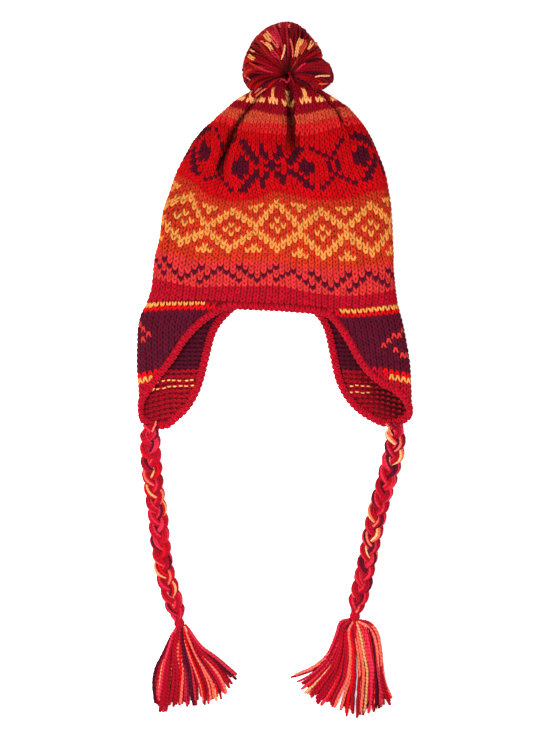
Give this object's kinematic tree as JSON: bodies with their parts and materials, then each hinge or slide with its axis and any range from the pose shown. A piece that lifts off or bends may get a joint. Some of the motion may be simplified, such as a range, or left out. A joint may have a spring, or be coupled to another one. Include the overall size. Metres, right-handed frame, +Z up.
{
  "type": "knitted ear-flap hat with pompom and plaited ties",
  "caption": "Knitted chullo hat with ear flaps, a pompom and two plaited ties that end in tassels, lying flat with its front up.",
  "frame": {"origin": "on the surface that the hat lies on, under the middle of the hat without its ties", "axes": "+Y from the ear flaps to the pompom, +X to the right as seen from above, +Z up off the surface"},
  "size_m": [0.277, 0.6963, 0.0771],
  "materials": {
    "patterned_knit": "chunky stocking-stitch knit with a fair-isle pattern",
    "flap_knit": "chunky stocking-stitch knit, dark purple with coral figures",
    "edging_knit": "rolled knitted band in crimson yarn",
    "plaited_yarn": "plaited wool yarn in mixed reds, orange and purple",
    "cut_yarn": "cut wool yarn in mixed reds, orange and purple"
  },
  "bodies": {
    "root": {"crown": "patterned_knit", "flap_left": "flap_knit", "flap_right": "flap_knit", "hem_edging_front": "edging_knit", "hem_edging_back": "edging_knit", "flap_edging_left": "edging_knit", "flap_edging_right": "edging_knit", "pompom": "cut_yarn", "braid_left": "plaited_yarn", "braid_right": "plaited_yarn", "braid_tie_left": "edging_knit", "braid_tie_right": "edging_knit", "tassel_left": "cut_yarn", "tassel_right": "cut_yarn"}
  },
  "joints": []
}
